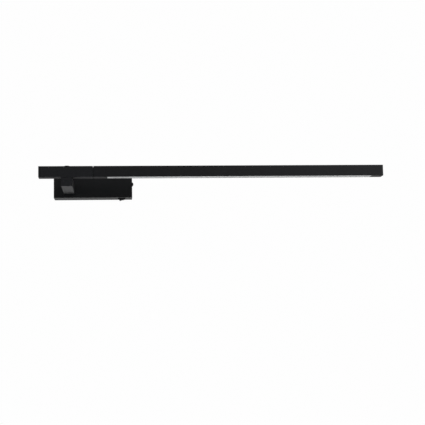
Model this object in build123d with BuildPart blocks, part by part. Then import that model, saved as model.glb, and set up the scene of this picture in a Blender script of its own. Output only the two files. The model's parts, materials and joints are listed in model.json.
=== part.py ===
from build123d import *
from math import cos, radians, sin, tan
import os

os.makedirs("parts", exist_ok=True)

# A wall light with a swivelling arm: a flat driver housing on the wall, a square stem, a pivot block
# that swivels on the stem, and a square LED bar that rolls about its own length.
# Frame: +X along the bar, +Y into the wall, +Z up. The origin is the centre of the housing's back.

# ---------------------------------------------------------------- driving dimensions (millimetres)
# Wall housing
housing_length = 153.4
housing_depth = 33.5
housing_height = 56.8
housing_wall = 1.5
housing_edge = 0.25
drain_hole = 4.0
drain_x = -5.0
side_screw_y = -housing_depth / 2
side_screw_hole = 2.2
rib_start = 12.3
rib_thick = 1.5
rib_width = 1.75

# Wall plate inside the housing's open back
plate_thick = 2.0
plate_gap = 0.3
slot_spacing = 110.0
slot_length = 10.0
slot_width = 4.5
entry_x = -40.0
entry_z = -15.0
entry_hole = 14.0
cable_bore = 8.0
ear_height = 18.0
ear_thick = 2.0
ear_reach = 22.0
ear_thread = 2.0
hook_reach = 16.0
hook_thick = 1.5
hook_inset = 2.0
lip_clear = 0.075
grommet_lip = 2.0
grommet_stand = 2.5
earth_x = -66.0
earth_z = -14.0

# Stem
stem_width = 20.5
stem_height = 16.7
stem_reach = 102.5
stem_wall = 1.5
stem_cap = 1.5
stem_tongue = 3.0
stem_screw_x = 5.9
stem_screw_hole = 1.7
stem_shank = 1.45
lead_offset = -2.85
lead_hole = 2.2

# Square section shared by the pivot block and the light bar
section = 20.6
section_wall = 1.5
section_edge = 0.2
bar_drop = 4.0
swivel_gap = 0.4

# Pivot block and its vertical pivot
pivot_x = -46.2
block_tube_length = 96.6
block_cap = 4.0
pivot_radius = 3.5
pivot_bore = 1.8
pivot_head_radius = 4.6
pivot_stop_radius = 7.4
swivel_travel = 180.0
top_hole_radius = 4.75
cap_radius = 5.25
cap_height = 1.8

# Light bar and its spindle
gap = 1.2
bar_length = 553.7
outer_cap = 4.0
inner_plug_length = 25.7
outer_plug_length = 18.0
disc_radius = 10.0
roll_stop_radius = 6.0
roll_travel = 150.0
led_pitch = 12.5

# Clearances
running = 0.05
slip = 0.05
stop_pin_radius = 1.0
stop_slot = 2.6

# Rocker switch
switch_x = 56.0
switch_y = -housing_depth / 2
switch_cut = (13.4, 8.8)
bezel = (15.0, 10.5, 2.0)
rocker_radius = 5.4
rocker_width = 6.4
rocker_travel = 28.0
rocker_sink = 4.0
rocker_face = 3.0
rocker_gap = 0.2
rocker_pin = (0.9, 3.8)

# Leads
core_lead = 2.8
mains_lead = 2.4
lead_clear = 0.1

# LED driver, inside the housing's front
driver_x = 4.0
driver_z = 5.0
driver_length = 68.0
driver_height = 36.0
driver_wall = 1.2
driver_back = -11.0
driver_ear = 6.0
driver_shank = 1.25
driver_pilot = (1.3, 1.0)

# ---------------------------------------------------------------- places worked out from them
house_x = housing_length / 2
house_z = housing_height / 2
inner_x = house_x - housing_wall
inner_z = house_z - housing_wall
inner_front = -housing_depth + housing_wall
plate_x = inner_x - plate_gap
plate_z = inner_z - plate_gap

axis_y = -(housing_depth + stem_reach) + section / 2
axis_z = -bar_drop + section / 2
stem_top = -bar_drop - swivel_gap
stem_z = stem_top - stem_height / 2
stem_front = -(housing_depth + stem_reach)
driver_left = driver_x - driver_length / 2
driver_right = driver_x + driver_length / 2
driver_front = -inner_front
driver_screw_places = [driver_left - driver_ear / 2, driver_right + driver_ear / 2]
stem_screw_places = [-stem_screw_x, stem_screw_x]
hollow = section - 2 * section_wall
hollow_half = hollow / 2

block_left = pivot_x - block_tube_length / 2
block_right = pivot_x + block_tube_length / 2
bar_left = block_right + gap
bar_right = bar_left + bar_length
profile_right = bar_right - outer_cap
lens_left = bar_left + inner_plug_length
lens_right = profile_right - outer_plug_length

block_floor = -bar_drop + section_wall
bearing_top = block_floor + 8.0
washer_thick = 0.8
head_bottom = bearing_top + washer_thick
head_top = head_bottom + 3.0

section_plane = Plane(origin=(0, axis_y, axis_z), x_dir=(0, 1, 0), z_dir=(1, 0, 0))
pivot_plane = Plane(origin=(pivot_x, axis_y, 0))
stem_plane = Plane(origin=(pivot_x, 0, stem_z), x_dir=(1, 0, 0), z_dir=(0, -1, 0))
wall_plane = Plane.XZ


def lead(points, bends, diameter):
    """A round lead along straight runs joined by arcs, one bend radius for each inner point."""
    with BuildPart() as cable:
        with BuildLine() as route:
            if bends:
                FilletPolyline(*points, radius=bends)
            else:
                Line(*points)
        with BuildSketch(Plane(origin=route.line @ 0, z_dir=route.line % 0)):
            Circle(diameter / 2)
        sweep()
    return cable


def ring(plane, start, thick, outer, inner):
    """A flat ring that starts at a height above the plane."""
    with BuildPart() as washer:
        with BuildSketch(plane.offset(start)):
            Circle(outer)
            Circle(inner, mode=Mode.SUBTRACT)
        extrude(amount=thick)
    return washer


# ---------------------------------------------------------------- wall plate and what it carries
# The plate's two ears stand forward: the right one takes the side screw, the left one hooks the shell.
earth_hole = 2.0
lip_length = hook_inset + hook_thick / 2 - lip_clear
with BuildPart() as wall_plate:
    with BuildSketch(wall_plane):
        Rectangle(2 * plate_x, 2 * plate_z)
        with Locations((-slot_spacing / 2, 0), (slot_spacing / 2, 0)):
            SlotOverall(slot_length, slot_width, mode=Mode.SUBTRACT)
        with Locations((entry_x, entry_z)):
            Circle(entry_hole / 2, mode=Mode.SUBTRACT)
        with Locations((earth_x, earth_z)):
            Circle(earth_hole, mode=Mode.SUBTRACT)
    extrude(amount=plate_thick)
    with BuildSketch(wall_plane.offset(plate_thick)):
        with Locations((plate_x - ear_thick / 2, 0)):
            Rectangle(ear_thick, ear_height)
    extrude(amount=ear_reach - plate_thick)
    with BuildSketch(wall_plane.offset(plate_thick)):
        with Locations((-plate_x + hook_inset + hook_thick / 2, 0)):
            Rectangle(hook_thick, ear_height)
    extrude(amount=hook_reach - plate_thick)
    with BuildSketch(wall_plane.offset(hook_reach - hook_thick)):
        with Locations((-plate_x + lip_clear + lip_length / 2, 0)):
            Rectangle(lip_length, ear_height)
    extrude(amount=hook_thick)
    with BuildSketch(Plane.YZ.offset(plate_x - ear_thick)):
        with Locations((side_screw_y, 0)):
            Circle(ear_thread)
    extrude(amount=ear_thick, mode=Mode.SUBTRACT)

# A one-sided rubber grommet lines the hole where the supply cable comes out of the wall.
entry_plane = Plane(origin=(entry_x, 0, entry_z), x_dir=(1, 0, 0), z_dir=(0, -1, 0))
with BuildPart() as cable_grommet:
    with BuildSketch(entry_plane):
        Circle(entry_hole / 2)
    extrude(amount=plate_thick)
    with BuildSketch(entry_plane.offset(plate_thick)):
        Circle(entry_hole / 2 + grommet_lip)
    extrude(amount=grommet_stand)
    with BuildSketch(entry_plane):
        Circle(cable_bore / 2)
    extrude(amount=plate_thick + grommet_stand, mode=Mode.SUBTRACT)

# The earth screw clamps a crimped ring tag to the plate.
earth_plane = Plane(origin=(earth_x, -plate_thick, earth_z), x_dir=(1, 0, 0), z_dir=(0, -1, 0))
tag_radius = 4.0
tag_thick = 0.8
crimp_top = 8.7
crimp_length = 4.8
crimp_width = 3.2
crimp_depth = 4.6
earth_shank = 1.95
earth_head = (3.6, 2.4)
earth_slot = (6.0, 0.9, 1.0)
with BuildPart() as earth_tag:
    with BuildSketch(earth_plane):
        Circle(tag_radius)
        Circle(earth_hole + 0.1, mode=Mode.SUBTRACT)
    extrude(amount=tag_thick)
    with BuildSketch(earth_plane):
        with Locations((0, crimp_top - crimp_length / 2)):
            Rectangle(crimp_width, crimp_length)
    extrude(amount=crimp_depth)

with BuildPart() as earth_screw:
    with BuildSketch(earth_plane.offset(-plate_thick)):
        Circle(earth_shank)
    extrude(amount=plate_thick + tag_thick)
    with BuildSketch(earth_plane.offset(tag_thick)):
        Circle(earth_head[0])
    extrude(amount=earth_head[1])
    with BuildSketch(earth_plane.offset(tag_thick + earth_head[1])):
        Rectangle(earth_slot[0], earth_slot[1])
    extrude(amount=-earth_slot[2], mode=Mode.SUBTRACT)

# ---------------------------------------------------------------- housing shell
# A folded box, open at the back. A rib inside its left wall catches the plate's hook.
with BuildPart() as housing_shell:
    with BuildSketch(wall_plane):
        Rectangle(housing_length, housing_height)
    extrude(amount=housing_depth)
    front_edges = housing_shell.faces().sort_by(Axis.Y)[0].edges()
    corner_edges = housing_shell.edges().filter_by(Axis.Y)
    fillet(front_edges + corner_edges, radius=housing_edge)
    with BuildSketch(wall_plane):
        Rectangle(2 * inner_x, 2 * inner_z)
    extrude(amount=housing_depth - housing_wall, mode=Mode.SUBTRACT)
    with BuildSketch(wall_plane.offset(rib_start)):
        with Locations((-house_x + housing_wall / 2 + rib_width / 2, 0)):
            Rectangle(housing_wall + rib_width, ear_height)
    extrude(amount=rib_thick)
    with BuildSketch(Plane.YZ.offset(inner_x)):
        with Locations((side_screw_y, 0)):
            Circle(side_screw_hole)
    extrude(amount=housing_wall, mode=Mode.SUBTRACT)
    with BuildSketch(Plane.XY.offset(-house_z)):
        with Locations((drain_x, -housing_depth / 2)):
            Circle(drain_hole / 2)
        with Locations((switch_x, switch_y)):
            Rectangle(switch_cut[0] + 0.1, switch_cut[1] + 0.1)
    extrude(amount=housing_wall, mode=Mode.SUBTRACT)
    with BuildSketch(stem_plane.offset(-inner_front)):
        with Locations(*[(x, 0) for x in stem_screw_places]):
            Circle(stem_screw_hole)
        with Locations((0, lead_offset)):
            Circle(lead_hole)
    extrude(amount=housing_wall, mode=Mode.SUBTRACT)
    with BuildSketch(wall_plane.offset(-inner_front)):
        with Locations(*[(x, driver_z) for x in driver_screw_places]):
            Circle(driver_pilot[0])
    extrude(amount=driver_pilot[1], mode=Mode.SUBTRACT)

# A domed socket screw holds the housing's right side to the plate's ear.
dome_plane = Plane(origin=(house_x, side_screw_y, 0), x_dir=(0, 1, 0), z_dir=(1, 0, 0))
dome_radius = 4.2
dome_height = 3.0
dome_skirt = 0.6
dome_arc = 5.2
dome_socket = (1.45, 1.4)
dome_shank = 1.95
with BuildPart() as side_screw:
    with BuildSketch(Plane(origin=(house_x, side_screw_y, 0), x_dir=(0, 1, 0), z_dir=(0, 0, 1))):
        with BuildLine():
            Line((0, 0), (dome_radius, 0))
            Line((dome_radius, 0), (dome_radius, -dome_skirt))
            RadiusArc((dome_radius, -dome_skirt), (0, -dome_height), dome_arc)
            Line((0, -dome_height), (0, 0))
        make_face()
    revolve(axis=Axis((house_x, side_screw_y, 0), (1, 0, 0)))
    with BuildSketch(dome_plane.offset(dome_height - dome_socket[1])):
        RegularPolygon(radius=dome_socket[0], side_count=6)
    extrude(amount=dome_height, mode=Mode.SUBTRACT)
    with BuildSketch(dome_plane):
        Circle(dome_shank)
    extrude(amount=-(housing_wall + ear_thick + 2.0))

# ---------------------------------------------------------------- terminal block
# Three poles side by side. Each has a brass tube along Z and two clamping screws from the front.
pole_places = [-65.0, -57.0, -49.0]
terminal_low = 9.5
terminal_height = 12.0
terminal_depth = 15.0
terminal_length = 26.0
pole_y = -6.0
pole_bore = 1.5
tube_radius = 2.25
tube_inset = 0.5
clamp_radius = 1.7
clamp_length = 4.0
clamp_start = 7.0
clamp_clear = 0.1
clamp_rows = [terminal_low + 3.0, terminal_low + 9.0]
clamp_seat = -9.0

with BuildPart() as terminal_block:
    with BuildSketch(Plane.XY.offset(terminal_low)):
        with Locations((pole_places[1], -plate_thick - terminal_depth / 2)):
            Rectangle(terminal_length, terminal_depth)
    extrude(amount=terminal_height)
    with BuildSketch(Plane.XY.offset(terminal_low)):
        with Locations(*[(x, pole_y) for x in pole_places]):
            Circle(tube_radius + slip)
    extrude(amount=terminal_height, mode=Mode.SUBTRACT)
    with BuildSketch(wall_plane.offset(clamp_start)):
        with Locations(*[(x, z) for x in pole_places for z in clamp_rows]):
            Circle(clamp_radius + clamp_clear)
    extrude(amount=terminal_depth, mode=Mode.SUBTRACT)

with BuildPart() as terminal_tubes:
    with BuildSketch(Plane.XY.offset(terminal_low + tube_inset)):
        with Locations(*[(x, pole_y) for x in pole_places]):
            Circle(tube_radius)
            Circle(pole_bore, mode=Mode.SUBTRACT)
    extrude(amount=terminal_height - 2 * tube_inset)

with BuildPart() as terminal_screws:
    with BuildSketch(wall_plane.offset(-clamp_seat)):
        with Locations(*[(x, z) for x in pole_places for z in clamp_rows]):
            Circle(clamp_radius)
    extrude(amount=clamp_length)

# ---------------------------------------------------------------- LED driver
driver_ear_thick = 2.0
driver_inside = (driver_length - 2 * driver_wall, driver_height - 2 * driver_wall)
with BuildPart() as driver_case:
    with BuildSketch(wall_plane.offset(driver_front)):
        with Locations((driver_x, driver_z)):
            Rectangle(driver_length, driver_height)
    extrude(amount=-(driver_front + driver_back))
    with BuildSketch(wall_plane.offset(driver_front - driver_wall)):
        with Locations((driver_x, driver_z)):
            Rectangle(*driver_inside)
    extrude(amount=-(driver_front + driver_back), mode=Mode.SUBTRACT)
    with BuildSketch(wall_plane.offset(driver_front)):
        with Locations(*[(x, driver_z) for x in driver_screw_places]):
            Rectangle(driver_ear, 10.0)
            Circle(1.6, mode=Mode.SUBTRACT)
    extrude(amount=-driver_ear_thick)
    with BuildSketch(Plane.YZ.offset(driver_left)):
        with Locations((-20.0, -8.0)):
            Circle(core_lead / 2 + lead_clear)
    extrude(amount=driver_wall, mode=Mode.SUBTRACT)
    with BuildSketch(Plane.YZ.offset(driver_right)):
        with Locations((-16.75, 16.0), (-24.0, 20.0)):
            Circle(mains_lead / 2 + lead_clear)
    extrude(amount=-driver_wall, mode=Mode.SUBTRACT)

with BuildPart() as driver_lid:
    with BuildSketch(wall_plane.offset(-driver_back)):
        with Locations((driver_x, driver_z)):
            Rectangle(driver_length, driver_height)
    extrude(amount=-1.5)

board_front = driver_front - driver_wall - 2.0
part_base = board_front - 1.6
part_height = 12.0
with BuildPart() as driver_board:
    with BuildSketch(wall_plane.offset(board_front)):
        with Locations((driver_x, driver_z)):
            Rectangle(driver_length - 4.0, driver_height - 4.0)
    extrude(amount=-1.6)

with BuildPart() as driver_transformer:
    with BuildSketch(wall_plane.offset(part_base)):
        with Locations((driver_x, driver_z - 2.0)):
            Rectangle(18.0, 16.0)
    extrude(amount=-part_height)
    with BuildSketch(wall_plane.offset(part_base - 3.0)):
        with Locations((driver_x - 8.0, driver_z - 2.0), (driver_x + 8.0, driver_z - 2.0)):
            Rectangle(4.0, 19.0)
    extrude(amount=-6.0)

with BuildPart() as driver_capacitors:
    with BuildSketch(wall_plane.offset(part_base)):
        with Locations((driver_x - 19.0, driver_z + 4.0), (driver_x + 20.0, driver_z - 6.0)):
            Circle(5.0)
    extrude(amount=-part_height)

with BuildPart() as driver_screws:
    with BuildSketch(wall_plane.offset(driver_front - driver_ear_thick)):
        with Locations(*[(x, driver_z) for x in driver_screw_places]):
            Circle(2.5)
    extrude(amount=-1.8)
    with BuildSketch(wall_plane.offset(driver_front - driver_ear_thick)):
        with Locations(*[(x, driver_z) for x in driver_screw_places]):
            Circle(driver_shank)
    extrude(amount=driver_ear_thick + 0.9)

# ---------------------------------------------------------------- rocker switch
# The rocker is a sector about its pivot, with a shallow V for a face. At rest its right half is pressed
# in and lies nearly level with the bezel, and its left half stands out to a peak.
rocker_z = -house_z - 0.2
rocker_plane = Plane(origin=(switch_x, switch_y, rocker_z), x_dir=(1, 0, 0), z_dir=(0, -1, 0))
switch_top = -house_z + 13.0

with BuildPart() as switch_body:
    with BuildSketch(Plane.XY.offset(-house_z)):
        with Locations((switch_x, switch_y)):
            Rectangle(*switch_cut)
    extrude(amount=switch_top + house_z)
    with BuildSketch(Plane.XY.offset(-house_z - bezel[2])):
        with Locations((switch_x, switch_y)):
            RectangleRounded(bezel[0], bezel[1], 0.8)
    extrude(amount=bezel[2])
    chamfer(switch_body.faces().sort_by(Axis.Z)[0].edges(), length=0.4)
    with BuildSketch(rocker_plane):
        Circle(rocker_radius + rocker_gap)
    extrude(amount=rocker_width / 2 + rocker_gap, both=True, mode=Mode.SUBTRACT)
    with BuildSketch(rocker_plane):
        Circle(rocker_pin[0] + running)
    extrude(amount=rocker_pin[1] + running, both=True, mode=Mode.SUBTRACT)

# The V's vertex lies half the travel to the pressed side of the pivot. The block cut away under the V
# reaches well past the sector.
half_travel = radians(rocker_travel / 2)
vertex_x = rocker_face * sin(half_travel)
vertex_z = -rocker_face * cos(half_travel)
cut_reach = 2 * rocker_radius
pressed_rise = (cut_reach - vertex_x) * tan(radians(rocker_sink))
raised_drop = (cut_reach + vertex_x) * tan(radians(rocker_travel - rocker_sink))
rocker_roof = 2.2
with BuildPart() as switch_rocker:
    with BuildSketch(rocker_plane):
        Circle(rocker_radius)
        with BuildLine():
            Polyline(
                (vertex_x, vertex_z),
                (cut_reach, vertex_z + pressed_rise),
                (cut_reach, -cut_reach),
                (-cut_reach, -cut_reach),
                (-cut_reach, vertex_z - raised_drop),
                close=True,
            )
        make_face(mode=Mode.SUBTRACT)
        with Locations((0, rocker_roof + cut_reach / 2)):
            Rectangle(2 * cut_reach, cut_reach, mode=Mode.SUBTRACT)
    extrude(amount=rocker_width / 2, both=True)
    outer_edges = switch_rocker.faces().sort_by(Axis.Z)[0:2].edges()
    fillet(outer_edges.filter_by(Axis.Y, reverse=True), radius=0.3)
    with BuildSketch(rocker_plane):
        Circle(rocker_pin[0])
    extrude(amount=rocker_pin[1], both=True)

terminal_places = [switch_x - 3.6, switch_x + 3.6]
with BuildPart() as switch_terminals:
    with BuildSketch(Plane.XY.offset(switch_top)):
        with Locations(*[(x, switch_y) for x in terminal_places]):
            Rectangle(0.8, 4.0)
    extrude(amount=7.0)

# ---------------------------------------------------------------- leads inside the housing
tab_top = switch_top + 7.0
terminal_top = terminal_low + terminal_height
supply_run = 24.2
lead_supply_switch = lead(
    [
        (pole_places[2], pole_y, terminal_top),
        (pole_places[2], pole_y + 1.8, supply_run),
        (terminal_places[0], pole_y + 1.8, supply_run),
        (terminal_places[0], switch_y, 10.0),
        (terminal_places[0], switch_y, tab_top),
    ],
    [1.5, 6.0, 6.0],
    mains_lead,
)
lead_supply_driver = lead(
    [
        (pole_places[1], pole_y, terminal_top),
        (pole_places[1], pole_y - 1.6, supply_run),
        (46.2, pole_y - 1.6, supply_run),
        (46.2, -24.0, 20.0),
        (driver_right, -24.0, 20.0),
    ],
    [1.5, 5.0, 4.0],
    mains_lead,
)
lead_switch_driver = lead(
    [
        (terminal_places[1], switch_y, tab_top),
        (terminal_places[1], switch_y, 16.0),
        (driver_right, switch_y, 16.0),
    ],
    [8.0],
    mains_lead,
)
earth_end = earth_z + crimp_top
earth_lead = lead([(earth_x, -5.2, terminal_low), (earth_x, -5.2, earth_end)], [], mains_lead)

# ---------------------------------------------------------------- stem
with BuildPart() as stem_tube:
    with BuildSketch(stem_plane.offset(housing_depth)):
        RectangleRounded(stem_width, stem_height, section_edge)
        Rectangle(stem_width - 2 * stem_wall, stem_height - 2 * stem_wall, mode=Mode.SUBTRACT)
    extrude(amount=stem_reach - stem_cap)
    with BuildSketch(pivot_plane.offset(stem_top)):
        Circle(pivot_radius + slip)
        with Locations((0, pivot_stop_radius)):
            Circle(stop_pin_radius + slip)
    extrude(amount=-stem_wall, mode=Mode.SUBTRACT)

stem_inner = (stem_width - 2 * stem_wall - 2 * slip, stem_height - 2 * stem_wall - 2 * slip)
with BuildPart() as stem_end_cap:
    with BuildSketch(stem_plane.offset(-stem_front - stem_cap)):
        RectangleRounded(stem_width, stem_height, section_edge)
    extrude(amount=stem_cap)
    with BuildSketch(stem_plane.offset(-stem_front - stem_cap)):
        Rectangle(*stem_inner)
    extrude(amount=-stem_tongue)

with BuildPart() as stem_rear_plug:
    with BuildSketch(stem_plane.offset(housing_depth)):
        Rectangle(*stem_inner)
        with Locations(*[(x, 0) for x in stem_screw_places]):
            Circle(stem_shank + slip, mode=Mode.SUBTRACT)
        with Locations((0, lead_offset)):
            Circle(lead_hole, mode=Mode.SUBTRACT)
    extrude(amount=12.0)

stem_head = (2.75, 2.0)
stem_socket = (1.3, 1.2)
with BuildPart() as stem_screws:
    with BuildSketch(stem_plane.offset(-inner_front)):
        with Locations(*[(x, 0) for x in stem_screw_places]):
            Circle(stem_shank)
    extrude(amount=10.0)
    with BuildSketch(stem_plane.offset(-inner_front)):
        with Locations(*[(x, 0) for x in stem_screw_places]):
            Circle(stem_head[0])
    extrude(amount=-stem_head[1])
    with BuildSketch(stem_plane.offset(-inner_front - stem_head[1])):
        with Locations(*[(x, 0) for x in stem_screw_places]):
            RegularPolygon(radius=stem_socket[0], side_count=6)
    extrude(amount=stem_socket[1], mode=Mode.SUBTRACT)

# The seat fills the stem's front end under the pivot. Its lower channel lets the lead reach the bolt.
seat_front = stem_front + stem_cap + stem_tongue
seat_back = axis_y + 9.7
bolt_bottom = stem_z - 0.25
with BuildPart() as pivot_seat:
    with BuildSketch(stem_plane.offset(-seat_back)):
        Rectangle(*stem_inner)
    extrude(amount=seat_back - seat_front)
    with BuildSketch(stem_plane.offset(-seat_back)):
        with Locations((0, -stem_inner[1] / 2 + 3.3)):
            Rectangle(4.0, 6.6 + 0.01)
    extrude(amount=seat_back - (axis_y - 2.2), mode=Mode.SUBTRACT)
    with BuildSketch(pivot_plane.offset(stem_top)):
        Circle(pivot_radius + slip)
    extrude(amount=bolt_bottom - stem_top, mode=Mode.SUBTRACT)
    with BuildSketch(pivot_plane.offset(stem_top)):
        with Locations((0, pivot_stop_radius)):
            Circle(stop_pin_radius + slip)
    extrude(amount=-6.0, mode=Mode.SUBTRACT)

# The hollow pivot bolt is fixed in the seat. The block turns about its shank, under its head.
with BuildPart() as pivot_bolt:
    with BuildSketch(pivot_plane.offset(bolt_bottom)):
        Circle(pivot_radius)
    extrude(amount=head_bottom - bolt_bottom)
    with BuildSketch(pivot_plane.offset(head_bottom)):
        Circle(pivot_head_radius)
    extrude(amount=head_top - head_bottom)
    with BuildSketch(pivot_plane.offset(bolt_bottom)):
        Circle(pivot_bore)
    extrude(amount=head_top - bolt_bottom, mode=Mode.SUBTRACT)
    with BuildSketch(pivot_plane.offset(head_top)):
        Rectangle(2 * pivot_head_radius, 1.4)
    extrude(amount=-1.2, mode=Mode.SUBTRACT)

pivot_washer = ring(pivot_plane, stem_top, swivel_gap, 6.0, pivot_radius + 0.2)

# The stop pin stands out of the stem into an arc slot in the block's underside.
stop_pin_top = block_floor - 0.4
with BuildPart() as swivel_stop_pin:
    with BuildSketch(pivot_plane.offset(stem_top - 6.0)):
        with Locations((0, pivot_stop_radius)):
            Circle(stop_pin_radius)
    extrude(amount=stop_pin_top - stem_top + 6.0)

lead_z = stem_z + lead_offset
lead_stem = lead(
    [
        (driver_left, -20.0, -8.0),
        (pivot_x, -20.0, lead_z),
        (pivot_x, axis_y, lead_z),
        (pivot_x, axis_y, head_top),
    ],
    [6.0, 2.9],
    core_lead,
)

# ---------------------------------------------------------------- pivot block
# Each stop pin runs in an arc slot that is as long as the joint's travel.
swivel_arc = CenterArc((0, 0), pivot_stop_radius, 90, swivel_travel)
roll_arc = CenterArc((0, 0), roll_stop_radius, 90 - roll_travel, 2 * roll_travel)

with BuildPart() as block_tube:
    with BuildSketch(section_plane.offset(block_left)):
        RectangleRounded(section, section, section_edge)
        Rectangle(hollow, hollow, mode=Mode.SUBTRACT)
    extrude(amount=block_tube_length)
    with BuildSketch(pivot_plane.offset(-bar_drop)):
        Circle(pivot_radius + 0.7)
        SlotArc(swivel_arc, stop_slot)
    extrude(amount=section_wall, mode=Mode.SUBTRACT)
    with BuildSketch(pivot_plane.offset(-bar_drop + section)):
        Circle(top_hole_radius)
    extrude(amount=-section_wall, mode=Mode.SUBTRACT)

with BuildPart() as block_end_cap:
    with BuildSketch(section_plane.offset(block_left)):
        RectangleRounded(section, section, section_edge)
    extrude(amount=-block_cap)
    with BuildSketch(section_plane.offset(block_left)):
        Rectangle(hollow - 2 * slip, hollow - 2 * slip)
        Rectangle(hollow - 4.0, hollow - 4.0, mode=Mode.SUBTRACT)
    extrude(amount=8.0)

with BuildPart() as pivot_bearing:
    with BuildSketch(pivot_plane.offset(block_floor)):
        Rectangle(24.0, hollow - 2 * slip)
        Circle(pivot_radius + running, mode=Mode.SUBTRACT)
    extrude(amount=bearing_top - block_floor)

pivot_spring_washer = ring(
    pivot_plane, bearing_top, washer_thick, pivot_head_radius - 0.1, pivot_radius + 0.2
)

block_roof = -bar_drop + section
with BuildPart() as pivot_cap:
    with BuildSketch(pivot_plane.offset(block_roof)):
        Circle(cap_radius)
    extrude(amount=cap_height)
    fillet(pivot_cap.edges().group_by(Axis.Z)[-1], radius=0.6)
    with BuildSketch(pivot_plane.offset(block_roof)):
        Circle(top_hole_radius - slip)
    extrude(amount=-section_wall)

# The spindle's bearing closes the block's right end. Its stop pin runs in the gap disc's arc slot.
spindle_nut_thick = 4.8
spring_thick = 0.9
bearing_left = block_right - 11.7
with BuildPart() as spindle_bearing:
    with BuildSketch(section_plane.offset(bearing_left)):
        Rectangle(hollow - 2 * slip, hollow - 2 * slip)
        Circle(pivot_radius + running, mode=Mode.SUBTRACT)
        with Locations((0, roll_stop_radius)):
            Circle(stop_pin_radius + slip, mode=Mode.SUBTRACT)
    extrude(amount=block_right - bearing_left)

with BuildPart() as roll_stop_pin:
    with BuildSketch(section_plane.offset(block_right - 6.0)):
        with Locations((0, roll_stop_radius)):
            Circle(stop_pin_radius)
    extrude(amount=6.0 + gap - 0.3)

spindle_left = bearing_left - spring_thick - spindle_nut_thick
lead_split = spindle_left - 0.7
lead_block = lead(
    [
        (pivot_x, axis_y, head_top),
        (pivot_x, axis_y, head_top + 3.3),
        (pivot_x + 18.0, axis_y, head_top + 3.3),
        (lead_split - 6.0, axis_y, axis_z),
        (lead_split - running, axis_y, axis_z),
    ],
    [3.0, 6.0, 6.0],
    core_lead,
)

# ---------------------------------------------------------------- light bar
# The extrusion has a wiring chamber above a web, and an open LED chamber below it. The web is cut back
# at both ends, where solid plugs fill the section down to the underside.
web_bottom = -2.0
web_top = -0.5
web_left = lens_left + 11.0
groove_z = -5.6
with BuildPart() as bar_profile:
    with BuildSketch(section_plane.offset(bar_left)):
        RectangleRounded(section, section, section_edge)
        with Locations((0, (web_top + hollow_half) / 2)):
            Rectangle(hollow, hollow_half - web_top, mode=Mode.SUBTRACT)
        with Locations((0, (web_bottom - section / 2) / 2)):
            Rectangle(hollow, web_bottom + section / 2, mode=Mode.SUBTRACT)
        with Locations((0, groove_z)):
            Rectangle(hollow + 1.0, 1.2, mode=Mode.SUBTRACT)
    extrude(amount=profile_right - bar_left)
    with BuildSketch(section_plane.offset(bar_left)):
        Rectangle(hollow, 4.0)
    extrude(amount=web_left - bar_left, mode=Mode.SUBTRACT)
    with BuildSketch(section_plane.offset(lens_right)):
        Rectangle(hollow, 4.0)
    extrude(amount=profile_right - lens_right, mode=Mode.SUBTRACT)
    with BuildSketch(Plane(origin=(0, axis_y, axis_z + section / 2))):
        with Locations((bar_left + 12.0, 0), (profile_right - 9.0, 0)):
            Circle(1.6)
    extrude(amount=-section_wall, mode=Mode.SUBTRACT)
    screw_rims = bar_profile.edges().filter_by(GeomType.CIRCLE).group_by(Axis.Z)[-1]
    chamfer(screw_rims, length=1.3)

plug_side = hollow - 2 * slip
plug_top = hollow_half - slip
plug_height = plug_top + section / 2
with BuildPart() as inner_end_plug:
    with BuildSketch(section_plane.offset(bar_left)):
        with Locations((0, (plug_top - section / 2) / 2)):
            Rectangle(plug_side, plug_height)
        Circle(pivot_radius + slip, mode=Mode.SUBTRACT)
    extrude(amount=inner_plug_length)
    with BuildSketch(Plane(origin=(bar_left + 12.0, axis_y, axis_z + plug_top))):
        Circle(1.25)
    extrude(amount=-4.0, mode=Mode.SUBTRACT)

with BuildPart() as outer_end_plug:
    with BuildSketch(section_plane.offset(profile_right)):
        RectangleRounded(section, section, section_edge)
    extrude(amount=outer_cap)
    with BuildSketch(section_plane.offset(profile_right)):
        with Locations((0, (plug_top - section / 2) / 2)):
            Rectangle(plug_side, plug_height)
    extrude(amount=-outer_plug_length)
    with BuildSketch(Plane(origin=(profile_right - 9.0, axis_y, axis_z + plug_top))):
        Circle(1.25)
    extrude(amount=-6.0, mode=Mode.SUBTRACT)

# Countersunk screws come down through the bar's top into the plugs.
with BuildPart() as plug_screws:
    for screw_x, shank in ((bar_left + 12.0, 4.5), (profile_right - 9.0, 6.5)):
        roof = Plane(origin=(screw_x, axis_y, axis_z + section / 2 - 0.1))
        with BuildSketch(roof):
            Circle(2.7)
        with BuildSketch(roof.offset(-1.45)):
            Circle(1.2)
        loft()
        with BuildSketch(roof.offset(-1.4)):
            Circle(1.2)
        extrude(amount=-(shank - 1.4))
        with BuildSketch(roof):
            RegularPolygon(radius=1.1, side_count=6)
        extrude(amount=-0.9, mode=Mode.SUBTRACT)

with BuildPart() as spindle:
    with BuildSketch(section_plane.offset(spindle_left)):
        Circle(pivot_radius)
        Circle(pivot_bore, mode=Mode.SUBTRACT)
    extrude(amount=bar_left + 20.0 - spindle_left)

with BuildPart() as spindle_nut:
    with BuildSketch(section_plane.offset(spindle_left)):
        RegularPolygon(radius=6.4, side_count=6)
        Circle(pivot_radius + slip, mode=Mode.SUBTRACT)
    extrude(amount=spindle_nut_thick)

spindle_spring_washer = ring(
    section_plane, bearing_left - spring_thick, spring_thick, 6.2, pivot_radius + 0.2
)

with BuildPart() as gap_disc:
    with BuildSketch(section_plane.offset(block_right + running)):
        Circle(disc_radius)
        Circle(pivot_radius + slip, mode=Mode.SUBTRACT)
        SlotArc(roll_arc, stop_slot, mode=Mode.SUBTRACT)
    extrude(amount=gap - running)

board_thick = 1.6
board_left = web_left
board_right = lens_right - 2.0
with BuildPart() as led_board:
    with BuildSketch(section_plane.offset(board_left)):
        with Locations((0, web_bottom - board_thick / 2)):
            Rectangle(15.0, board_thick)
    extrude(amount=board_right - board_left)

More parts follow.
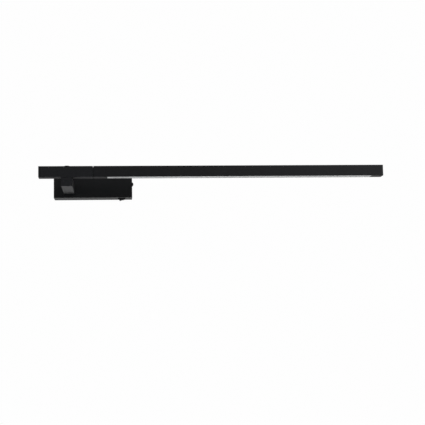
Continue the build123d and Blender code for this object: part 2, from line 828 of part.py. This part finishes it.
# LED packages in a row under the board
first_led = board_left + 12.0
led_count = int((board_right - 4.0 - first_led) / led_pitch) + 1
chip_plane = Plane(origin=(first_led, axis_y, axis_z + web_bottom - board_thick))
with BuildPart() as leds:
    with BuildSketch(chip_plane):
        with Locations(*[(led_pitch * step, 0) for step in range(led_count)]):
            Rectangle(3.5, 2.8)
    extrude(amount=-0.7)

connector_height = 3.4
with BuildPart() as board_connector:
    with BuildSketch(Plane(origin=(board_left + 3.6, axis_y, axis_z + web_bottom - board_thick))):
        Rectangle(6.0, 8.0)
    extrude(amount=-connector_height)

lens_bottom = -section / 2 + 0.1
lens_thick = 1.2
lens_leg = 1.0
lens_half = hollow_half - 0.1
with BuildPart() as diffuser:
    with BuildSketch(section_plane.offset(lens_left)):
        with Locations((0, lens_bottom + lens_thick / 2)):
            Rectangle(2 * lens_half, lens_thick)
        for side in (-1, 1):
            with Locations((side * (lens_half - lens_leg / 2), lens_bottom + 2.7)):
                Rectangle(lens_leg, 5.4)
            with Locations((side * (lens_half + 0.1), groove_z)):
                Rectangle(0.6, 0.8)
    extrude(amount=lens_right - lens_left)

lead_drop = axis_z + web_bottom - board_thick - connector_height / 2
lead_bar = lead(
    [
        (lead_split, axis_y, axis_z),
        (lens_left + 1.5, axis_y, axis_z),
        (lens_left + 7.0, axis_y, lead_drop),
        (board_left + 0.6, axis_y, lead_drop),
    ],
    [4.0, 4.0],
    core_lead,
)

# ---------------------------------------------------------------- write every piece
pieces = {
    "wall_plate": wall_plate,
    "cable_grommet": cable_grommet,
    "earth_tag": earth_tag,
    "earth_screw": earth_screw,
    "housing_shell": housing_shell,
    "side_screw": side_screw,
    "terminal_block": terminal_block,
    "terminal_tubes": terminal_tubes,
    "terminal_screws": terminal_screws,
    "driver_case": driver_case,
    "driver_lid": driver_lid,
    "driver_board": driver_board,
    "driver_transformer": driver_transformer,
    "driver_capacitors": driver_capacitors,
    "driver_screws": driver_screws,
    "switch_body": switch_body,
    "switch_rocker": switch_rocker,
    "switch_terminals": switch_terminals,
    "lead_supply_switch": lead_supply_switch,
    "lead_supply_driver": lead_supply_driver,
    "lead_switch_driver": lead_switch_driver,
    "earth_lead": earth_lead,
    "stem_tube": stem_tube,
    "stem_end_cap": stem_end_cap,
    "stem_rear_plug": stem_rear_plug,
    "stem_screws": stem_screws,
    "pivot_seat": pivot_seat,
    "pivot_bolt": pivot_bolt,
    "pivot_washer": pivot_washer,
    "swivel_stop_pin": swivel_stop_pin,
    "lead_stem": lead_stem,
    "block_tube": block_tube,
    "block_end_cap": block_end_cap,
    "pivot_bearing": pivot_bearing,
    "pivot_spring_washer": pivot_spring_washer,
    "pivot_cap": pivot_cap,
    "spindle_bearing": spindle_bearing,
    "roll_stop_pin": roll_stop_pin,
    "lead_block": lead_block,
    "bar_profile": bar_profile,
    "inner_end_plug": inner_end_plug,
    "outer_end_plug": outer_end_plug,
    "plug_screws": plug_screws,
    "spindle": spindle,
    "spindle_nut": spindle_nut,
    "spindle_spring_washer": spindle_spring_washer,
    "gap_disc": gap_disc,
    "led_board": led_board,
    "leds": leds,
    "board_connector": board_connector,
    "diffuser": diffuser,
    "lead_bar": lead_bar,
}
for name, piece in pieces.items():
    piece.part.label = name
    export_step(piece.part, f"parts/{name}.step")
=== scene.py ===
import json
import math

import bmesh
import bpy
from mathutils import Matrix, Vector


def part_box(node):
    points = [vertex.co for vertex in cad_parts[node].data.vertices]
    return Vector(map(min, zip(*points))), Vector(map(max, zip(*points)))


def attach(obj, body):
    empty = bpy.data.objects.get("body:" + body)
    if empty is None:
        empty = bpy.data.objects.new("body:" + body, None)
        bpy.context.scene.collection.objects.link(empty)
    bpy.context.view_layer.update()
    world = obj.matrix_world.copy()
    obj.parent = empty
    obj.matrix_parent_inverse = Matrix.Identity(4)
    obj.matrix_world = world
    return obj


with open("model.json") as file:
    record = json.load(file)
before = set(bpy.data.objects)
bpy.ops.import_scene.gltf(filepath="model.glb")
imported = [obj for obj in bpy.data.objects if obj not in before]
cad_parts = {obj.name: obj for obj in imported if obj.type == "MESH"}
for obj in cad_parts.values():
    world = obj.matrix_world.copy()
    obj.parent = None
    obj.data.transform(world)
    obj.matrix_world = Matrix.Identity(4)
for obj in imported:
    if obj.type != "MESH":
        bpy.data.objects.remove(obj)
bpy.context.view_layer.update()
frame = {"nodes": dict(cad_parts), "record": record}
nodes = frame["nodes"]
scene = bpy.context.scene

MM = 0.001
X = (1, 0, 0)
Y = (0, 1, 0)
Z = (0, 0, 1)


# ---------------------------------------------------------------- node tools
def new_material(name):
    """An empty material with a Principled shader, and its node tree."""
    material = bpy.data.materials.new(name)
    material.use_nodes = True
    tree = material.node_tree
    shader = tree.nodes["Principled BSDF"]
    return material, tree, shader


def object_coords(tree, stretch=(1, 1, 1)):
    """Object coordinates, which are metres in the frame, stretched along each axis."""
    coords = tree.nodes.new("ShaderNodeTexCoord")
    mapping = tree.nodes.new("ShaderNodeMapping")
    mapping.inputs["Scale"].default_value = stretch
    tree.links.new(coords.outputs["Object"], mapping.inputs["Vector"])
    return mapping.outputs["Vector"]


def noise(tree, vector, size, detail=2.0, roughness=0.5):
    """Noise whose features are about size metres across."""
    node = tree.nodes.new("ShaderNodeTexNoise")
    node.inputs["Scale"].default_value = 1.0 / size
    node.inputs["Detail"].default_value = detail
    node.inputs["Roughness"].default_value = roughness
    tree.links.new(vector, node.inputs["Vector"])
    return node.outputs["Fac"]


def spread(tree, value, low=0.0, high=1.0, from_low=0.3, from_high=0.7):
    """Maps a noise value to a range."""
    node = tree.nodes.new("ShaderNodeMapRange")
    node.inputs["From Min"].default_value = from_low
    node.inputs["From Max"].default_value = from_high
    node.inputs["To Min"].default_value = low
    node.inputs["To Max"].default_value = high
    tree.links.new(value, node.inputs["Value"])
    return node.outputs["Result"]


def tint(tree, shader, value, tones):
    """Colours the shader between its darkest and lightest tone, by a noise value."""
    node = tree.nodes.new("ShaderNodeMix")
    node.data_type = "RGBA"
    node.inputs["A"].default_value = (*tones[0], 1)
    node.inputs["B"].default_value = (*tones[1], 1)
    tree.links.new(spread(tree, value), node.inputs["Factor"])
    tree.links.new(node.outputs["Result"], shader.inputs["Base Color"])


def vary_gloss(tree, shader, value, roughness, swing):
    """Moves the shader's roughness by up to a swing to each side, by a noise value."""
    gloss = spread(tree, value, roughness - swing, roughness + swing)
    tree.links.new(gloss, shader.inputs["Roughness"])


def bump(tree, shader, height, depth, strength, under=None):
    """Adds a bump of a depth in metres to the shader, on top of an earlier one."""
    node = tree.nodes.new("ShaderNodeBump")
    node.inputs["Strength"].default_value = strength
    node.inputs["Distance"].default_value = depth
    tree.links.new(height, node.inputs["Height"])
    if under:
        tree.links.new(under, node.inputs["Normal"])
    tree.links.new(node.outputs["Normal"], shader.inputs["Normal"])
    return node.outputs["Normal"]


# ---------------------------------------------------------------- materials
def powder_coat(name, tones, roughness, grain, specular=0.5):
    """Satin powder coat: a fine orange peel and a fine grain in gloss, with a slow drift in tone."""
    drift_size = 45 * MM
    peel_size = 5 * grain
    peel_depth = 0.03 * MM
    grain_depth = 0.012 * MM
    gloss_swing = 0.05
    material, tree, shader = new_material(name)
    coords = object_coords(tree)
    fine = noise(tree, coords, grain)
    peel = noise(tree, coords, peel_size, detail=1.0)
    drift = noise(tree, coords, drift_size, detail=3.0)
    tint(tree, shader, drift, tones)
    vary_gloss(tree, shader, fine, roughness, gloss_swing)
    first = bump(tree, shader, peel, peel_depth, 0.5)
    bump(tree, shader, fine, grain_depth, 0.6, first)
    shader.inputs["Specular IOR Level"].default_value = specular
    return material


def moulded_plastic(name, tones, roughness, grain, specular=0.5):
    """Moulded plastic with a fine spark-eroded texture."""
    drift_size = 12 * MM
    texture_depth = 0.02 * MM
    gloss_swing = 0.04
    material, tree, shader = new_material(name)
    coords = object_coords(tree)
    fine = noise(tree, coords, grain, detail=3.0, roughness=0.6)
    drift = noise(tree, coords, drift_size)
    tint(tree, shader, drift, tones)
    vary_gloss(tree, shader, drift, roughness, gloss_swing)
    bump(tree, shader, fine, texture_depth, 0.5)
    shader.inputs["Specular IOR Level"].default_value = specular
    return material


def opal_acrylic(name, tones, roughness):
    """Opal acrylic: a soft white body under a satin skin."""
    cloud_size = 20 * MM
    skin_size = 0.4 * MM
    skin_depth = 0.006 * MM
    gloss_swing = 0.05
    scatter_weight = 0.25
    scatter_scale = 0.5
    scatter_radius = 4 * MM
    material, tree, shader = new_material(name)
    coords = object_coords(tree)
    cloud = noise(tree, coords, cloud_size)
    skin = noise(tree, coords, skin_size)
    tint(tree, shader, cloud, tones)
    vary_gloss(tree, shader, skin, roughness, gloss_swing)
    bump(tree, shader, skin, skin_depth, 0.5)
    shader.inputs["Subsurface Weight"].default_value = scatter_weight
    shader.inputs["Subsurface Radius"].default_value = (scatter_radius,) * 3
    shader.inputs["Subsurface Scale"].default_value = scatter_scale
    return material


def plated_metal(name, tones, roughness, stretch=(1, 1, 1)):
    """Plated metal with slow patches of tone and fine streaks, which are long where the stretch is small."""
    patch_size = 9 * MM
    streak_size = 0.5 * MM
    streak_depth = 0.01 * MM
    gloss_swing = 0.08
    material, tree, shader = new_material(name)
    streaks = noise(tree, object_coords(tree, stretch), streak_size, detail=3.0, roughness=0.6)
    patches = noise(tree, object_coords(tree), patch_size)
    tint(tree, shader, patches, tones)
    vary_gloss(tree, shader, streaks, roughness, gloss_swing)
    bump(tree, shader, streaks, streak_depth, 0.4)
    shader.inputs["Metallic"].default_value = 1.0
    return material


def rubber(name, tones, roughness):
    """Soft cable jacket or grommet rubber."""
    dust_size = 7 * MM
    skin_size = 0.6 * MM
    skin_depth = 0.02 * MM
    gloss_swing = 0.06
    dull_specular = 0.35
    material, tree, shader = new_material(name)
    coords = object_coords(tree)
    skin = noise(tree, coords, skin_size)
    dust = noise(tree, coords, dust_size, detail=3.0)
    tint(tree, shader, dust, tones)
    vary_gloss(tree, shader, skin, roughness, gloss_swing)
    bump(tree, shader, skin, skin_depth, 0.4)
    shader.inputs["Specular IOR Level"].default_value = dull_specular
    return material


# Each finish is given as its darkest and lightest tone.
SHADOW = ((0.002, 0.002, 0.002), (0.003, 0.003, 0.003))
DEEP_BLACK = ((0.0038, 0.0043, 0.0054), (0.0052, 0.0057, 0.0070))
BLACK = ((0.0056, 0.0062, 0.0076), (0.0072, 0.0078, 0.0096))
SOFT_BLACK = ((0.0090, 0.0098, 0.0120), (0.0110, 0.0118, 0.0144))
JACKET_BLACK = ((0.012, 0.012, 0.013), (0.02, 0.02, 0.021))
RUBBER_BLACK = ((0.014, 0.014, 0.014), (0.022, 0.022, 0.022))
ZINC_BLACK = ((0.02, 0.02, 0.022), (0.035, 0.035, 0.037))
ZINC = ((0.42, 0.43, 0.45), (0.6, 0.61, 0.62))
TIN = ((0.55, 0.56, 0.58), (0.66, 0.67, 0.69))
ALUMINIUM = ((0.6, 0.61, 0.62), (0.7, 0.71, 0.72))
BRASS = ((0.62, 0.42, 0.16), (0.75, 0.55, 0.25))
COPPER = ((0.55, 0.2, 0.07), (0.68, 0.3, 0.12))
OPAL_WHITE = ((0.51, 0.525, 0.535), (0.55, 0.565, 0.57))
ACETAL_WHITE = ((0.62, 0.6, 0.54), (0.7, 0.68, 0.62))
TERMINAL_WHITE = ((0.62, 0.62, 0.59), (0.7, 0.7, 0.67))
DRIVER_WHITE = ((0.68, 0.68, 0.66), (0.74, 0.74, 0.72))
JACKET_WHITE = ((0.6, 0.6, 0.58), (0.68, 0.68, 0.66))
BOARD_WHITE = ((0.74, 0.74, 0.73), (0.8, 0.8, 0.79))
BOARD_GREEN = ((0.01, 0.09, 0.03), (0.015, 0.12, 0.04))
PHOSPHOR = ((0.75, 0.55, 0.12), (0.85, 0.65, 0.18))
TAPE_YELLOW = ((0.5, 0.34, 0.03), (0.6, 0.42, 0.05))
SLEEVE_BLUE = ((0.01, 0.014, 0.04), (0.015, 0.02, 0.055))
FLOOR_WHITE = ((0.86, 0.86, 0.86), (0.9, 0.9, 0.9))

COAT_GRAIN = 0.35 * MM
FINE_GRAIN = 0.2 * MM
SWITCH_GRAIN = 0.25 * MM
MOULD_GRAIN = 0.3 * MM
CASE_GRAIN = 0.4 * MM
BEARING_GRAIN = 0.5 * MM
BOARD_GRAIN = 0.8 * MM
FLOOR_GRAIN = 2 * MM
LONG_IN_X = (0.15, 1, 1)

# One finish for each of the record's slots: its tones and its roughness, then a coat's or moulding's grain
# and, where it is dull, its specular level.
MATERIALS = {
    "housing_paint": powder_coat("housing_powder_coat", DEEP_BLACK, 0.58, COAT_GRAIN, 0.36),
    "bar_paint": powder_coat("bar_powder_coat", BLACK, 0.74, COAT_GRAIN, 0.34),
    "cap_plastic": moulded_plastic("cap_moulding", BLACK, 0.66, MOULD_GRAIN, 0.34),
    "switch_plastic": moulded_plastic("switch_moulding", SOFT_BLACK, 0.4, SWITCH_GRAIN),
    "screw_black": plated_metal("black_screw", ZINC_BLACK, 0.38),
    "opal": opal_acrylic("opal_acrylic", OPAL_WHITE, 0.41),
    "zinc_steel": plated_metal("zinc_plate", ZINC, 0.34, LONG_IN_X),
    "brass": plated_metal("brass", BRASS, 0.3),
    "bearing_plastic": moulded_plastic("acetal", ACETAL_WHITE, 0.4, BEARING_GRAIN),
    "terminal_plastic": moulded_plastic("terminal_moulding", TERMINAL_WHITE, 0.42, MOULD_GRAIN),
    "driver_plastic": moulded_plastic("driver_moulding", DRIVER_WHITE, 0.5, CASE_GRAIN),
    "board_green": moulded_plastic("solder_mask", BOARD_GREEN, 0.3, BOARD_GRAIN),
    "board_white": moulded_plastic("white_mask", BOARD_WHITE, 0.3, BOARD_GRAIN),
    "led_phosphor": moulded_plastic("phosphor", PHOSPHOR, 0.35, MOULD_GRAIN),
    "transformer_tape": moulded_plastic("winding_tape", TAPE_YELLOW, 0.35, BEARING_GRAIN),
    "capacitor_sleeve": moulded_plastic("capacitor_sleeve", SLEEVE_BLUE, 0.25, CASE_GRAIN),
    "lead_black": rubber("black_jacket", JACKET_BLACK, 0.6),
    "lead_white": rubber("white_jacket", JACKET_WHITE, 0.5),
    "grommet_rubber": rubber("grommet_rubber", RUBBER_BLACK, 0.65),
}

# The block and the stem's end cap get a slightly paler copy of the same paint. Its painted brightness stands
# in for the stronger light on their fronts.
lit_paint_copy = powder_coat("lit_powder_coat_copy", SOFT_BLACK, 0.72, COAT_GRAIN, 0.34)
OWN_MATERIAL = {"block_tube": lit_paint_copy, "stem_end_cap": lit_paint_copy}

# Finishes that only the detail pieces have.
# The joint shadow finish is painted shade for the seams between end caps and tubes.
joint_shadow = moulded_plastic("joint_shadow", SHADOW, 0.8, FINE_GRAIN, 0.1)
copper_wire = plated_metal("enamelled_copper", COPPER, 0.3)
bare_aluminium = plated_metal("bare_aluminium", ALUMINIUM, 0.35)
solder = plated_metal("solder", TIN, 0.22)
chip_moulding = moulded_plastic("chip_moulding", JACKET_BLACK, 0.5, FINE_GRAIN)

for part in frame["record"]["subparts"]:
    mesh = nodes[part["node"]].data
    mesh.materials.clear()
    mesh.materials.append(OWN_MATERIAL.get(part["node"], MATERIALS[part["material_slot"]]))


# ---------------------------------------------------------------- piece tools
def middle(low, high):
    return (low + high) / 2


def centre_of(node):
    """The middle of a CAD node's box."""
    low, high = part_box(node)
    return [middle(a, b) for a, b in zip(low, high)]


def add_box(bm, centre, size):
    """A box in a bmesh, from its centre and its sides."""
    place = Matrix.Translation(Vector(centre)) @ Matrix.Diagonal((*size, 1))
    bmesh.ops.create_cube(bm, size=1.0, matrix=place)


def add_rod(bm, centre, axis, radius, length, end_radius=None, sides=24):
    """A rod or cone along an axis through its centre."""
    turned = Vector(Z).rotation_difference(Vector(axis)).to_matrix().to_4x4()
    bmesh.ops.create_cone(
        bm,
        cap_ends=True,
        segments=sides,
        radius1=radius,
        radius2=radius if end_radius is None else end_radius,
        depth=length,
        matrix=Matrix.Translation(Vector(centre)) @ turned,
    )


def add_hoop(bm, centre, axes, half, corner, section, around=6, steps=5):
    """A closed tube that follows a rounded rectangle, which lies in the plane of the two axes."""
    first, second = (Vector(axis) for axis in axes)
    normal = first.cross(second)
    path = []
    for quarter, (a, b) in enumerate(((1, 1), (-1, 1), (-1, -1), (1, -1))):
        for step in range(steps + 1):
            angle = math.radians(90 * (quarter + step / steps))
            out = first * math.cos(angle) + second * math.sin(angle)
            hub = first * a * (half[0] - corner) + second * b * (half[1] - corner)
            path.append((Vector(centre) + hub + out * corner, out))
    turns = [2 * math.pi * step / around for step in range(around)]
    rings = []
    for point, out in path:
        ring = [point + (out * math.cos(turn) + normal * math.sin(turn)) * section for turn in turns]
        rings.append([bm.verts.new(place) for place in ring])
    for ring, after in zip(rings, rings[1:] + rings[:1]):
        for step in range(around):
            beside = (step + 1) % around
            bm.faces.new((ring[step], ring[beside], after[beside], after[step]))


def add_piece(name, bm, body, slot, material=None, edge=0.0):
    """Turns a bmesh into a piece that rides on a body, finished with the material given, or else with its
    slot's finish.
    """
    smooth_below = math.radians(35)
    rounded_above = math.radians(40)
    bmesh.ops.recalc_face_normals(bm, faces=bm.faces)
    mesh = bpy.data.meshes.new(name)
    bm.to_mesh(mesh)
    bm.free()
    mesh.materials.append(material or MATERIALS[slot])
    mesh.shade_smooth()
    mesh.set_sharp_from_angle(angle=smooth_below)
    piece = bpy.data.objects.new(name, mesh)
    scene.collection.objects.link(piece)
    if edge:
        rounding = piece.modifiers.new("edge", "BEVEL")
        rounding.width = edge
        rounding.segments = 2
        rounding.limit_method = "ANGLE"
        rounding.angle_limit = rounded_above
    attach(piece, body)


# ---------------------------------------------------------------- seams and pivot cap
def seam(name, node, x, body):
    """A near-black hairline of painted shadow where an end cap meets its tube, which stands a trace out of
    the square section.
    """
    sunk = 0.02 * MM
    corner = 0.2 * MM
    section = 0.06 * MM
    low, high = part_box(node)
    half = ((high[1] - low[1]) / 2 - sunk, (high[2] - low[2]) / 2 - sunk)
    centre = (x, middle(low[1], high[1]), middle(low[2], high[2]))
    bm = bmesh.new()
    add_hoop(bm, centre, (Y, Z), half, corner, section)
    add_piece(name, bm, body, "cap_plastic", joint_shadow)


seam("block_cap_seam", "block_tube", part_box("block_tube")[0][0], "pivot_block")
seam("bar_cap_seam", "bar_profile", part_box("bar_profile")[1][0], "light_bar")

# The pivot cap has a raised rim and a shallow ring on top, each a radius and a section.
cap_rim = (3.9 * MM, 0.22 * MM)
cap_ring = (2.3 * MM, 0.16 * MM)
cap_x, cap_y, _ = centre_of("pivot_cap")
cap_top = (cap_x, cap_y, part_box("pivot_cap")[1][2])
cap_rings = bmesh.new()
for radius, section in (cap_rim, cap_ring):
    add_hoop(cap_rings, cap_top, (X, Y), (radius, radius), radius, section, around=8, steps=14)
add_piece("pivot_cap_rings", cap_rings, "pivot_block", "cap_plastic")

# ---------------------------------------------------------------- LED board
# Each LED sits in a white frame with two solder pads beside it.
led_length = 3.5 * MM
led_width = 2.8 * MM
led_pitch = 12.5 * MM
frame_inset = 0.1 * MM
frame_half = (led_length / 2 - frame_inset, led_width / 2 - frame_inset)
frame_corner = 0.3 * MM
frame_section = 0.22 * MM
pad_size = (0.7 * MM, 2.2 * MM, 0.16 * MM)

led_low, led_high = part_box("leds")
led_y = middle(led_low[1], led_high[1])
led_count = round((led_high[0] - led_low[0] - led_length) / led_pitch) + 1
first_led = led_low[0] + led_length / 2
board_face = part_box("led_board")[0][2]
led_frames = bmesh.new()
pads = bmesh.new()
for step in range(led_count):
    led_x = first_led + step * led_pitch
    place = (led_x, led_y, led_low[2])
    add_hoop(led_frames, place, (X, Y), frame_half, frame_corner, frame_section, steps=2)
    for side in (-1, 1):
        pad_x = led_x + side * (led_length + pad_size[0]) / 2
        add_box(pads, (pad_x, led_y, board_face - pad_size[2] / 2), pad_size)
add_piece("led_frames", led_frames, "light_bar", "board_white")
add_piece("led_pads", pads, "light_bar", "zinc_steel", solder, edge=0.05 * MM)

# A small resistor sits between every third pair of LEDs, to one side of their row.
resistor_size = (1.4 * MM, 1.25 * MM, 0.6 * MM)
resistor_y = led_y + 4.2 * MM
resistor_z = board_face - resistor_size[2] / 2
resistor_end = (0.45 * MM, 1.3 * MM, 0.62 * MM)
resistor_end_x = 0.85 * MM
resistor_end_z = board_face - 0.29 * MM
resistor_edge = 0.06 * MM
resistors = bmesh.new()
resistor_ends = bmesh.new()
for step in range(1, led_count - 1, 3):
    resistor_x = first_led + (step + 0.5) * led_pitch
    add_box(resistors, (resistor_x, resistor_y, resistor_z), resistor_size)
    for side in (-1, 1):
        end_x = resistor_x + side * resistor_end_x
        add_box(resistor_ends, (end_x, resistor_y, resistor_end_z), resistor_end)
add_piece("led_resistors", resistors, "light_bar", "lead_black", chip_moulding, resistor_edge)
add_piece("led_resistor_ends", resistor_ends, "light_bar", "zinc_steel", solder, resistor_edge)

# ---------------------------------------------------------------- driver
# Copper turns run round the transformer, between its two cheeks.
coil_half = (5.6 * MM, 8.0 * MM)
coil_corner = 0.9 * MM
wire_radius = 0.5 * MM
turn_count = 9
coil_low, coil_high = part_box("driver_transformer")
coil_x, _, coil_z = centre_of("driver_transformer")
coil = bmesh.new()
for turn in range(turn_count):
    turn_y = coil_low[1] + (coil_high[1] - coil_low[1]) * (turn + 1.5) / (turn_count + 2)
    add_hoop(coil, (coil_x, turn_y, coil_z), (X, Z), coil_half, coil_corner, wire_radius, steps=3)
add_piece("transformer_winding", coil, "wall_bracket", "brass", copper_wire)

# The two capacitors have aluminium tops with a crimped rim and a crossed vent.
can_radius = 5.0 * MM
rim_radius = 4.5 * MM
rim_section = 0.35 * MM
lid_radii = (4.3 * MM, 4.1 * MM)
lid_thick = 0.3 * MM
vent_length = 5.4 * MM
vent_width = 0.35 * MM
vent_height = 0.14 * MM
can_low, can_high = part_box("driver_capacitors")
can_places = (
    (can_low[0] + can_radius, can_high[2] - can_radius),
    (can_high[0] - can_radius, can_low[2] + can_radius),
)
can_tops = bmesh.new()
for can_x, can_z in can_places:
    top = (can_x, can_high[1], can_z)
    vent = (can_x, can_high[1] + vent_height, can_z)
    add_hoop(can_tops, top, (X, Z), (rim_radius, rim_radius), rim_radius, rim_section, around=8, steps=9)
    add_rod(can_tops, top, Y, lid_radii[0], lid_thick, lid_radii[1], sides=40)
    add_box(can_tops, vent, (vent_length, vent_height, vent_width))
    add_box(can_tops, vent, (vent_width, vent_height, vent_length))
add_piece("capacitor_tops", can_tops, "wall_bracket", "zinc_steel", bare_aluminium)

# Chips with gull-wing legs stand on the driver's board. Each row gives a chip's place from the middle of
# the board, its width, and its number of legs on a side.
CHIPS = (
    (-18.0 * MM, -13.0 * MM, 6.0 * MM, 4),
    (23.0 * MM, 7.0 * MM, 5.0 * MM, 4),
    (-28.0 * MM, 12.0 * MM, 4.0 * MM, 3),
)
chip_depth = 4.0 * MM
chip_height = 1.5 * MM
chip_stand = 0.2 * MM
leg_pitch = 1.27 * MM
leg_width = 0.4 * MM
leg_thick = 0.2 * MM
shoulder_length = 0.7 * MM
shoulder_reach = 2.25 * MM
shoulder_drop = 0.1 * MM
shin_length = 0.9 * MM
shin_reach = 2.6 * MM
board_x, _, board_z = centre_of("driver_board")
board_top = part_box("driver_board")[1][1]
chip_y = board_top + chip_stand + chip_height / 2
chips = bmesh.new()
legs = bmesh.new()
for from_middle_x, from_middle_z, chip_width, leg_count in CHIPS:
    chip_x = board_x + from_middle_x
    chip_z = board_z + from_middle_z
    add_box(chips, (chip_x, chip_y, chip_z), (chip_width, chip_height, chip_depth))
    for leg in range(leg_count):
        leg_x = chip_x + (leg - (leg_count - 1) / 2) * leg_pitch
        for side in (-1, 1):
            shoulder = (leg_x, chip_y - shoulder_drop, chip_z + side * shoulder_reach)
            shin = (leg_x, board_top + shin_length / 2, chip_z + side * shin_reach)
            add_box(legs, shoulder, (leg_width, leg_thick, shoulder_length))
            add_box(legs, shin, (leg_width, shin_length, leg_thick))
add_piece("driver_chips", chips, "wall_bracket", "lead_black", chip_moulding, edge=0.15 * MM)
add_piece("driver_chip_legs", legs, "wall_bracket", "zinc_steel", solder)

# ---------------------------------------------------------------- switch receptacles
# A receptacle slips over each of the switch's blades. It has a leaf on each side of the blade, and a curl
# along both edges of the leaf.
blade_thick = 0.8 * MM
leaf_size = (0.4 * MM, 4.6 * MM, 5.6 * MM)
leaf_x = 0.65 * MM
leaf_drop = 3.4 * MM
curl_radius = 0.5 * MM
curl_x = 0.75 * MM
curl_y = 2.1 * MM
blade_low, blade_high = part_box("switch_terminals")
blade_y = middle(blade_low[1], blade_high[1])
leaf_z = blade_high[2] - leaf_drop
receptacles = bmesh.new()
for blade_x in (blade_low[0] + blade_thick / 2, blade_high[0] - blade_thick / 2):
    for side in (-1, 1):
        add_box(receptacles, (blade_x + side * leaf_x, blade_y, leaf_z), leaf_size)
        for edge in (-1, 1):
            curl = (blade_x + side * curl_x, blade_y + edge * curl_y, leaf_z)
            add_rod(receptacles, curl, Z, curl_radius, leaf_size[2], sides=12)
add_piece("switch_receptacles", receptacles, "wall_bracket", "brass", edge=0.1 * MM)

# ---------------------------------------------------------------- camera
# The camera stands nearly opposite the pivot, a little below the lamp, and looks up and to the right.
camera_place = Vector((46.7, -1903.0, -299.5)) * MM
camera_yaw = math.radians(5.766)
camera_pitch = math.radians(7.261)
camera_roll = math.radians(-1.259)
camera_lens = 80.65
sensor_width = 36.0
clip_end = 100.0

camera_data = bpy.data.cameras.new("camera")
camera_data.lens = camera_lens
camera_data.sensor_width = sensor_width
camera_data.clip_end = clip_end
camera = bpy.data.objects.new("camera", camera_data)
scene.collection.objects.link(camera)
camera_turn = (
    Matrix.Rotation(-camera_yaw, 4, "Z")
    @ Matrix.Rotation(math.radians(90) + camera_pitch, 4, "X")
    @ Matrix.Rotation(camera_roll, 4, "Z")
)
camera.matrix_world = Matrix.Translation(camera_place) @ camera_turn
scene.camera = camera

# ---------------------------------------------------------------- floor
floor_half = 3.0
floor_z = -1.25
floor_corners = [(-1, -1), (1, -1), (1, 1), (-1, 1)]
floor_mesh = bpy.data.meshes.new("floor")
floor_mesh.from_pydata([(a * floor_half, b * floor_half, 0) for a, b in floor_corners], [], [(0, 1, 2, 3)])
floor_mesh.materials.append(moulded_plastic("pale_floor", FLOOR_WHITE, 0.8, FLOOR_GRAIN, 0.2))
floor = bpy.data.objects.new("floor", floor_mesh)
floor.location = (0, 0, floor_z)
scene.collection.objects.link(floor)

# ---------------------------------------------------------------- light
world = bpy.data.worlds.new("studio")
scene.world = world
world.use_nodes = True
sky = world.node_tree
background = sky.nodes["Background"]
background.inputs["Color"].default_value = (1, 1, 1, 1)
direction = sky.nodes.new("ShaderNodeTexCoord")
split = sky.nodes.new("ShaderNodeSeparateXYZ")
sky.links.new(direction.outputs["Generated"], split.inputs["Vector"])


def along(axis, start, end, low, high):
    """A smooth step of sky brightness along one axis of the view direction."""
    step = sky.nodes.new("ShaderNodeMapRange")
    step.interpolation_type = "SMOOTHSTEP"
    step.inputs["From Min"].default_value = start
    step.inputs["From Max"].default_value = end
    step.inputs["To Min"].default_value = low
    step.inputs["To Max"].default_value = high
    sky.links.new(split.outputs[axis], step.inputs["Value"])
    return step.outputs["Result"]


def combine(operation, first, second):
    """Multiplies or adds two sky values."""
    node = sky.nodes.new("ShaderNodeMath")
    node.operation = operation
    sky.links.new(first, node.inputs[0])
    sky.links.new(second, node.inputs[1])
    return node.outputs["Value"]


# The studio is bright behind the lamp, less so further up, and dim in front of it. It is a little
# brighter to the right, and an even light from straight overhead keeps the floor pale. The camera itself
# sees plain white.
depth_step = along("Y", 0.15, 0.95, 0.02, 1.1)
height_step = along("Z", 0.15, 0.9, 1.0, 0.35)
side_step = along("X", -0.1, 0.45, 0.95, 1.1)
overhead_step = along("Z", 0.7, 0.9, 0.0, 1.1)
backdrop_white = 0.99
behind = combine("MULTIPLY", combine("MULTIPLY", depth_step, height_step), side_step)
seen = sky.nodes.new("ShaderNodeLightPath")
strength = sky.nodes.new("ShaderNodeMix")
sky.links.new(seen.outputs["Is Camera Ray"], strength.inputs["Factor"])
sky.links.new(combine("ADD", behind, overhead_step), strength.inputs["A"])
strength.inputs["B"].default_value = backdrop_white
sky.links.new(strength.outputs["Result"], background.inputs["Strength"])

# Each square softbox is its place, the point it faces, its side in metres and its power in watts.
SOFTBOXES = {
    "key": ((0.5, -0.1, 1.9), (0.25, -0.1, 0), 1.4, 8.5),
    "left": ((-1.3, -0.85, 0.05), (-0.05, -0.05, 0), 0.5, 3.8),
    "right": ((1.0, -0.8, 0.35), (0.45, -0.13, 0), 0.5, 5.5),
}
for name, (place, target, side, power) in SOFTBOXES.items():
    light = bpy.data.lights.new(name, "AREA")
    light.shape = "RECTANGLE"
    light.size = side
    light.size_y = side
    light.energy = power
    softbox = bpy.data.objects.new(name, light)
    softbox.location = place
    softbox.rotation_euler = (Vector(target) - Vector(place)).to_track_quat("-Z", "Y").to_euler()
    scene.collection.objects.link(softbox)

scene.view_settings.view_transform = "Standard"
